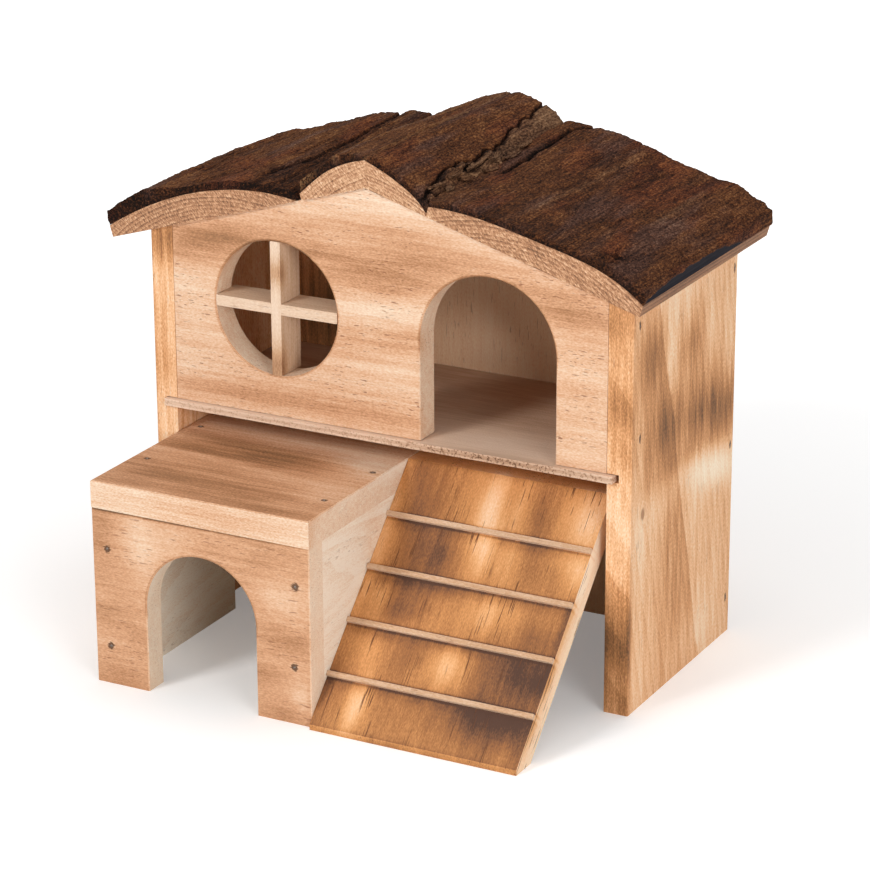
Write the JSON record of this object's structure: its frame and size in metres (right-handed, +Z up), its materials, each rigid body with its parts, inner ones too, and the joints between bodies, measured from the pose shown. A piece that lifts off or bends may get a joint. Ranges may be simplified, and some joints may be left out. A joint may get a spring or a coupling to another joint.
{
  "type": "wooden hamster house",
  "caption": "Two-storey wooden hamster house with a bark-covered slab roof, a round window, an arched doorway, an arched tunnel and a ramp with battens.",
  "frame": {"origin": "on the ground, under the middle of the whole house's bounding box; the ridge stands over X = 0", "axes": "+X to the right along the front, +Y from the front to the back, +Z up"},
  "size_m": [0.2239, 0.1766, 0.1984],
  "materials": {
    "wall_pine": "flame-scorched, unvarnished",
    "panel_pine": "flame-scorched, unvarnished",
    "tunnel_pine": "flame-scorched, unvarnished",
    "ramp_pine": "strongly flame-scorched",
    "strip_pine": "sawn, lightly scorched",
    "plywood": "thin raw plywood",
    "slab_wood": "sawn end grain and flat underside",
    "bark": "rough, dark and furrowed"
  },
  "bodies": {
    "house": {"left_wall": "wall_pine", "right_wall": "wall_pine", "front_panel": "panel_pine", "back_panel": "wall_pine", "window_strip_upright": "strip_pine", "window_strip_level": "strip_pine", "tunnel_front": "tunnel_pine", "tunnel_left_side": "tunnel_pine", "tunnel_right_side": "tunnel_pine", "tunnel_top": "tunnel_pine", "ramp_board": "ramp_pine", "ramp_batten_1": "strip_pine", "ramp_batten_2": "strip_pine", "ramp_batten_3": "strip_pine", "ramp_batten_4": "strip_pine", "slab_left": "slab_wood", "ridge_slab_left": "slab_wood", "ridge_slab_right": "slab_wood", "slab_right": "slab_wood", "slab_left_bark": "bark", "ridge_slab_left_bark": "bark", "ridge_slab_right_bark": "bark", "slab_right_bark": "bark"},
    "floor": {"upper_floor": "plywood"}
  },
  "joints": [
    {"name": "floor_slide", "type": "slide", "parent": "house", "child": "floor", "axis": [0, -1, 0], "range_m": [0, 0.09]}
  ]
}
